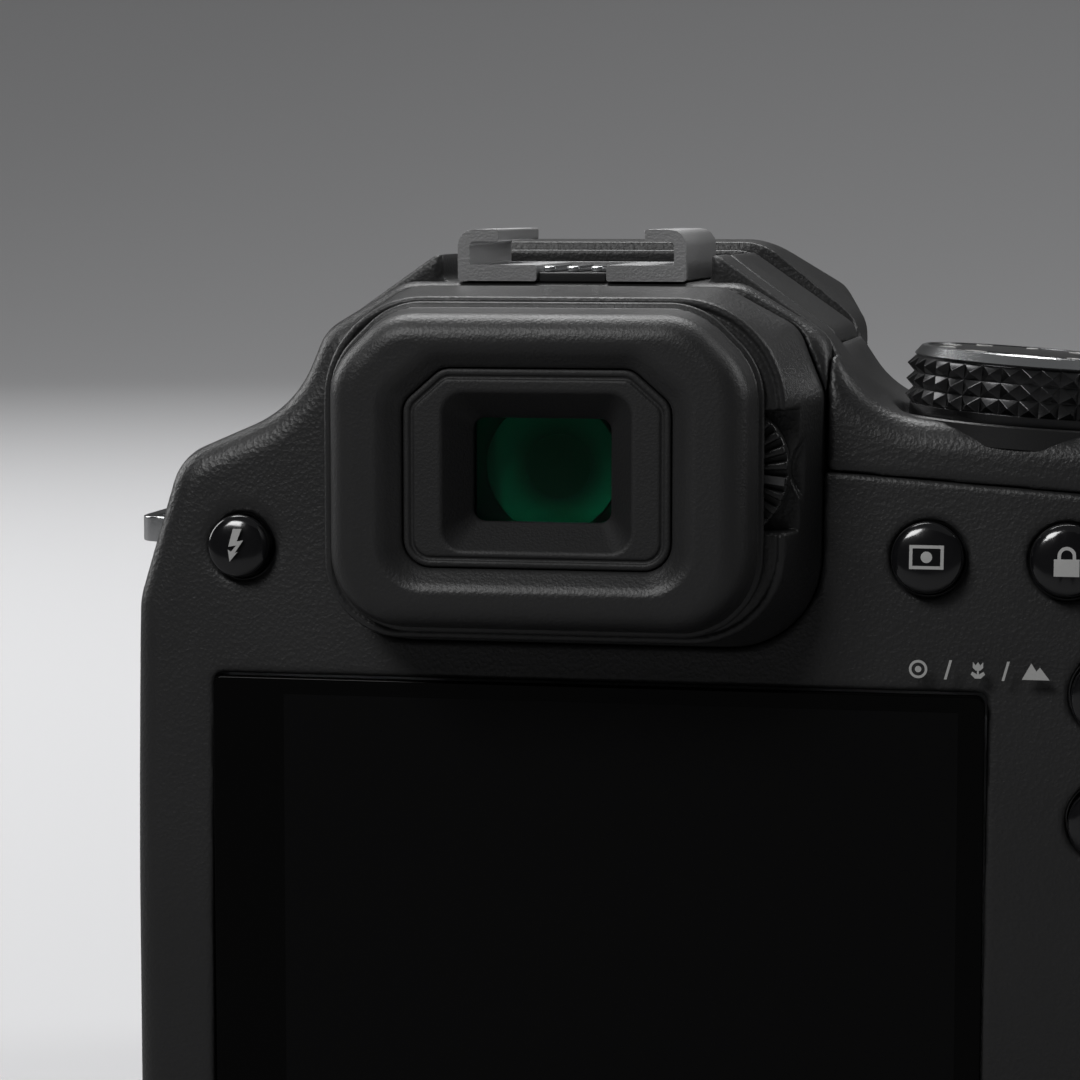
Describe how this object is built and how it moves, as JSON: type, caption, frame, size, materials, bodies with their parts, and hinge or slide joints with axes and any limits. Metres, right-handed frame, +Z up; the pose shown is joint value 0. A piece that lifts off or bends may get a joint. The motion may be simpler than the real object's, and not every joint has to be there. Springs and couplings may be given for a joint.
{
  "type": "bridge camera",
  "caption": "Black bridge camera with an extending zoom lens, electronic viewfinder, accessory shoe, pop-up flash, mode dial, rear display and a deep hand grip.",
  "frame": {"origin": "centre of the tripod socket's mouth, in the plane that the base stands on", "axes": "+X to the viewer's right, +Y forward along the lens axis, +Z up"},
  "size_m": [0.1336, 0.118, 0.0979],
  "materials": {
    "body_plastic": "fine-grained matte black",
    "trim_plastic": "satin black",
    "gloss_keys": "glossy black",
    "rubber": "matte black",
    "shoe_metal": "satin grey",
    "bright_metal": "polished",
    "frame_metal": "bare",
    "screen_glass": "dark polished",
    "optics": "coated",
    "board": "green lacquer",
    "gear_brass": "cut",
    "flash_plastic": "ribbed clear",
    "battery_wrap": "dark grey"
  },
  "bodies": {
    "body": {"rear_cover": "body_plastic", "front_cover": "body_plastic", "top_cover": "body_plastic", "base_plate": "body_plastic", "grip_rubber": "rubber", "eyecup": "rubber", "eyepiece_frame": "trim_plastic", "eyepiece_window": "optics", "viewfinder_display": "trim_plastic", "hot_shoe": "shoe_metal", "hot_shoe_base": "trim_plastic", "hot_shoe_contacts": "bright_metal", "display_window": "screen_glass", "display_panel": "frame_metal", "chassis": "frame_metal", "main_board": "board", "image_sensor": "optics", "lens_barrel": "trim_plastic", "lens_trim_ring": "shoe_metal", "zoom_motor": "frame_metal", "battery": "battery_wrap", "terminal_block": "gloss_keys", "tripod_socket": "bright_metal", "strap_lugs": "bright_metal", "body_screws": "shoe_metal", "hinge_pins": "bright_metal"},
    "zoom_barrel": {"zoom_barrel": "trim_plastic"},
    "cam_ring": {"cam_ring": "frame_metal"},
    "zoom_pinion": {"zoom_pinion": "gear_brass"},
    "front_barrel": {"front_barrel": "trim_plastic", "front_lens": "optics"},
    "zoom_group": {"zoom_lens_group": "optics", "aperture_unit": "trim_plastic"},
    "focus_group": {"focus_lens_group": "optics"},
    "flash": {"flash_head": "body_plastic", "flash_lamp": "flash_plastic"},
    "flash_button": {"flash_button": "gloss_keys"},
    "viewfinder_button": {"viewfinder_button": "gloss_keys"},
    "exposure_lock_button": {"exposure_lock_button": "gloss_keys"},
    "focus_mode_button": {"focus_mode_button": "gloss_keys"},
    "playback_button": {"playback_button": "gloss_keys"},
    "cursor_up_key": {"cursor_up_key": "gloss_keys"},
    "cursor_down_key": {"cursor_down_key": "gloss_keys"},
    "cursor_left_key": {"cursor_left_key": "gloss_keys"},
    "cursor_right_key": {"cursor_right_key": "gloss_keys"},
    "menu_button": {"menu_button": "gloss_keys"},
    "display_button": {"display_button": "gloss_keys"},
    "quick_menu_button": {"quick_menu_button": "gloss_keys"},
    "movie_button": {"movie_button": "gloss_keys"},
    "burst_button": {"burst_button": "gloss_keys"},
    "shutter_button": {"shutter_button": "bright_metal"},
    "zoom_lever": {"zoom_lever": "shoe_metal"},
    "mode_dial": {"mode_dial": "trim_plastic"},
    "power_switch": {"power_switch": "trim_plastic"},
    "rear_dial": {"rear_dial": "trim_plastic"},
    "diopter_dial": {"diopter_dial": "trim_plastic"},
    "eyepiece_lens": {"eyepiece_lens": "optics"},
    "battery_door": {"battery_door": "body_plastic"},
    "battery_latch": {"battery_latch": "gloss_keys"},
    "port_door": {"port_door": "rubber"}
  },
  "joints": [
    {"name": "zoom_slide", "type": "slide", "parent": "body", "child": "zoom_barrel", "axis": [0, 1, 0], "range_m": [0, 0.028]},
    {"name": "cam_turn", "type": "hinge", "parent": "body", "child": "cam_ring", "pos_m": [0, 0, 0.043], "axis": [0, 1, 0], "range_deg": [0, 100]},
    {"name": "pinion_turn", "type": "hinge", "parent": "body", "child": "zoom_pinion", "pos_m": [0.0372, 0, 0.043], "axis": [0, 1, 0], "range_deg": [-520, 0]},
    {"name": "front_barrel_slide", "type": "slide", "parent": "zoom_barrel", "child": "front_barrel", "axis": [0, 1, 0], "range_m": [0, 0.022]},
    {"name": "zoom_group_slide", "type": "slide", "parent": "front_barrel", "child": "zoom_group", "axis": [0, 1, 0], "range_m": [-0.014, 0]},
    {"name": "focus_slide", "type": "slide", "parent": "body", "child": "focus_group", "axis": [0, 1, 0], "range_m": [0, 0.006]},
    {"name": "flash_hinge", "type": "hinge", "parent": "body", "child": "flash", "pos_m": [0, 0.002, 0.0908], "axis": [1, 0, 0], "range_deg": [0, 45]},
    {"name": "flash_button_press", "type": "slide", "parent": "body", "child": "flash_button", "axis": [0, 0.9903, -0.1392], "range_m": [0, 0.0005], "stiffness_N_per_m": 400},
    {"name": "viewfinder_button_press", "type": "slide", "parent": "body", "child": "viewfinder_button", "axis": [0, 0.9903, -0.1392], "range_m": [0, 0.0005], "stiffness_N_per_m": 400},
    {"name": "exposure_lock_button_press", "type": "slide", "parent": "body", "child": "exposure_lock_button", "axis": [0, 0.9903, -0.1392], "range_m": [0, 0.0005], "stiffness_N_per_m": 400},
    {"name": "focus_mode_button_press", "type": "slide", "parent": "body", "child": "focus_mode_button", "axis": [0, 1, 0], "range_m": [0, 0.0005], "stiffness_N_per_m": 400},
    {"name": "playback_button_press", "type": "slide", "parent": "body", "child": "playback_button", "axis": [0, 1, 0], "range_m": [0, 0.0005], "stiffness_N_per_m": 400},
    {"name": "cursor_up_key_press", "type": "slide", "parent": "body", "child": "cursor_up_key", "axis": [0, 1, 0], "range_m": [0, 0.0005], "stiffness_N_per_m": 400},
    {"name": "cursor_down_key_press", "type": "slide", "parent": "body", "child": "cursor_down_key", "axis": [0, 1, 0], "range_m": [0, 0.0005], "stiffness_N_per_m": 400},
    {"name": "cursor_left_key_press", "type": "slide", "parent": "body", "child": "cursor_left_key", "axis": [0, 1, 0], "range_m": [0, 0.0005], "stiffness_N_per_m": 400},
    {"name": "cursor_right_key_press", "type": "slide", "parent": "body", "child": "cursor_right_key", "axis": [0, 1, 0], "range_m": [0, 0.0005], "stiffness_N_per_m": 400},
    {"name": "menu_button_press", "type": "slide", "parent": "body", "child": "menu_button", "axis": [0, 1, 0], "range_m": [0, 0.0005], "stiffness_N_per_m": 400},
    {"name": "display_button_press", "type": "slide", "parent": "body", "child": "display_button", "axis": [0, 1, 0], "range_m": [0, 0.0005], "stiffness_N_per_m": 400},
    {"name": "quick_menu_button_press", "type": "slide", "parent": "body", "child": "quick_menu_button", "axis": [0, 1, 0], "range_m": [0, 0.0005], "stiffness_N_per_m": 400},
    {"name": "movie_button_press", "type": "slide", "parent": "body", "child": "movie_button", "axis": [-0.0732, 0, -0.9973], "range_m": [0, 0.0005], "stiffness_N_per_m": 400},
    {"name": "burst_button_press", "type": "slide", "parent": "body", "child": "burst_button", "axis": [-0.0732, 0, -0.9973], "range_m": [0, 0.0005], "stiffness_N_per_m": 400},
    {"name": "shutter_button_press", "type": "slide", "parent": "body", "child": "shutter_button", "axis": [-0.0704, -0.2756, -0.9587], "range_m": [0, 0.0012], "stiffness_N_per_m": 800},
    {"name": "zoom_lever_turn", "type": "hinge", "parent": "body", "child": "zoom_lever", "pos_m": [0.067, 0.034, 0.07241], "axis": [0.0704, 0.2756, 0.9587], "range_deg": [-25, 25], "stiffness_Nm_per_rad": 0.05},
    {"name": "mode_dial_turn", "type": "hinge", "parent": "body", "child": "mode_dial", "pos_m": [0.04, -0.003, 0.0807], "axis": [0.0732, 0, 0.9973], "continuous": true},
    {"name": "power_switch_slide", "type": "slide", "parent": "body", "child": "power_switch", "axis": [0, 1, 0], "range_m": [0, 0.004]},
    {"name": "rear_dial_turn", "type": "hinge", "parent": "body", "child": "rear_dial", "pos_m": [0.07, -0.00946, 0.069], "axis": [0, 0, 1], "continuous": true},
    {"name": "diopter_turn", "type": "hinge", "parent": "body", "child": "diopter_dial", "pos_m": [0.0148, -0.02, 0.0773], "axis": [0, 1, 0], "range_deg": [-140, 140]},
    {"name": "eyepiece_lens_slide", "type": "slide", "parent": "body", "child": "eyepiece_lens", "axis": [0, 1, 0], "range_m": [-0.0012, 0.0012]},
    {"name": "battery_door_hinge", "type": "hinge", "parent": "body", "child": "battery_door", "pos_m": [0.07725, 0.016, 0.00125], "axis": [0, -1, 0], "range_deg": [0, 95]},
    {"name": "battery_latch_slide", "type": "slide", "parent": "battery_door", "child": "battery_latch", "axis": [1, 0, 0], "range_m": [0, 0.0025], "stiffness_N_per_m": 200},
    {"name": "port_door_hinge", "type": "hinge", "parent": "body", "child": "port_door", "pos_m": [-0.03925, 0.01025, 0.03], "axis": [0, 0, -1], "range_deg": [0, 90]}
  ],
  "couplings": [
    {"joint": "cam_turn", "follows": "zoom_slide", "rad_per_m": 62.333},
    {"joint": "pinion_turn", "follows": "zoom_slide", "rad_per_m": -324.13},
    {"joint": "front_barrel_slide", "follows": "zoom_slide", "ratio": 0.78571},
    {"joint": "zoom_group_slide", "follows": "zoom_slide", "ratio": -0.5},
    {"joint": "diopter_turn", "follows": "eyepiece_lens_slide", "rad_per_m": 2036.2}
  ]
}
